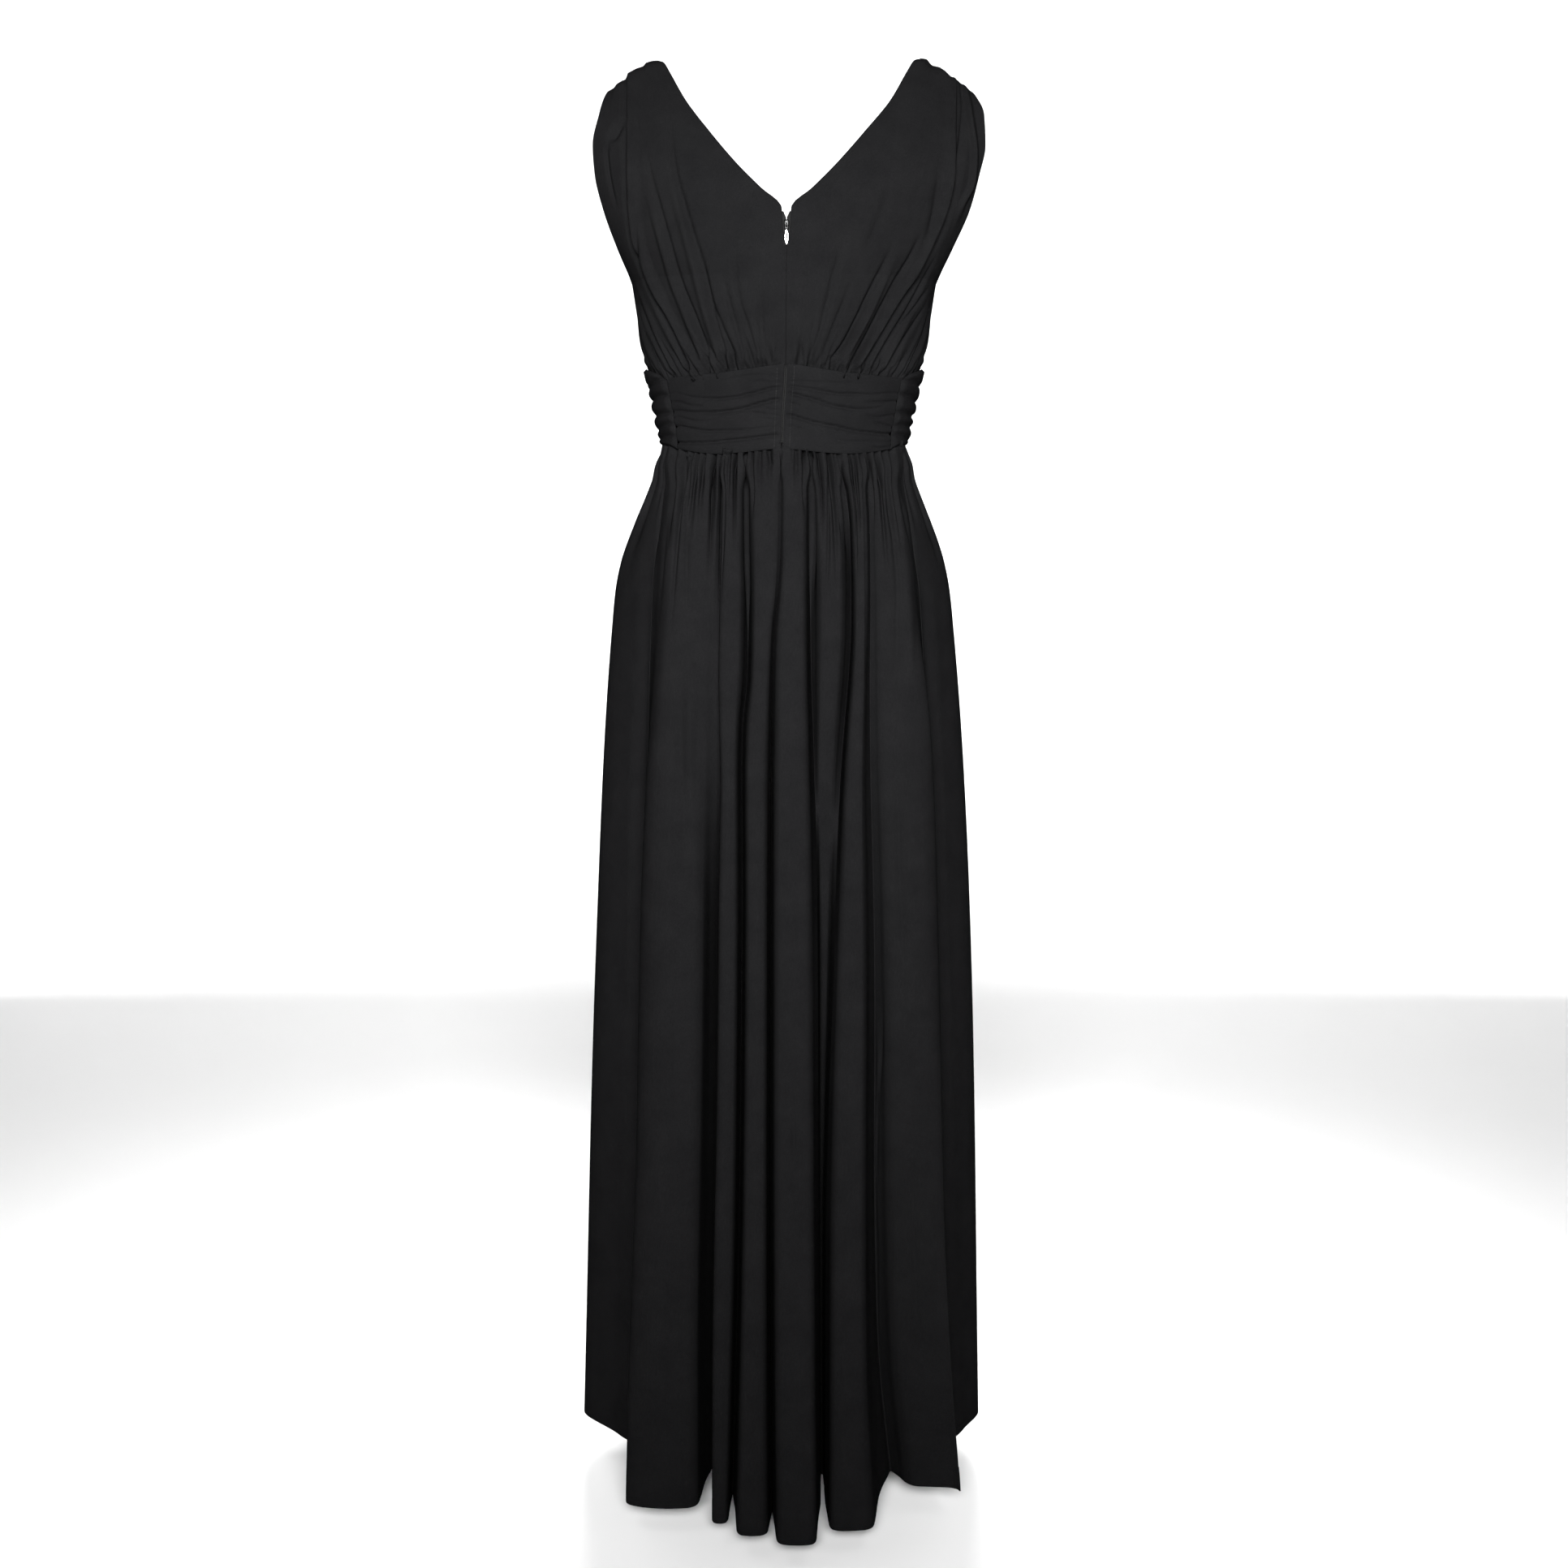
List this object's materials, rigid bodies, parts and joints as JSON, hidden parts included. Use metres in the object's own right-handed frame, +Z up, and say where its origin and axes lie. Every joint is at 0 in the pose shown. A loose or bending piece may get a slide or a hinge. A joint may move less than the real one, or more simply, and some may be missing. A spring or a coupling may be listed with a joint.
{
  "type": "maxi dress",
  "caption": "Sleeveless floor length dress in gathered jersey: V neck front and back, wide soft shoulder caps, ruched waistband, gathered full skirt and a back zip.",
  "frame": {"origin": "midway between the tops of the two shoulders, where the wearer holds the dress up", "axes": "+Z up, the front faces -Y and the back +Y, +X is the wearer's left; the hem hangs towards -Z"},
  "size_m": [0.4213, 0.4696, 1.4167],
  "materials": {
    "jersey": "fine black jersey knit, matt with a soft sheen",
    "zip_tape": "black woven zip tape with a nylon coil",
    "zip_metal": "dark polished metal"
  },
  "bodies": {
    "dress": {"back_bodice_left": "jersey", "back_bodice_right": "jersey", "front_bodice": "jersey", "waistband_back_left": "jersey", "waistband_back_right": "jersey", "waistband_front": "jersey", "skirt_back_left": "jersey", "skirt_back_right": "jersey", "skirt_front": "jersey", "zip_tape": "zip_tape", "zip_slider": "zip_metal"},
    "zip_pull": {"zip_pull": "zip_metal"}
  },
  "joints": [
    {"name": "zip_pull_swing", "type": "hinge", "parent": "dress", "child": "zip_pull", "pos_m": [-0.0024, 0.10419, -0.1695], "axis": [1, 0, 0], "range_deg": [0, 160]}
  ]
}
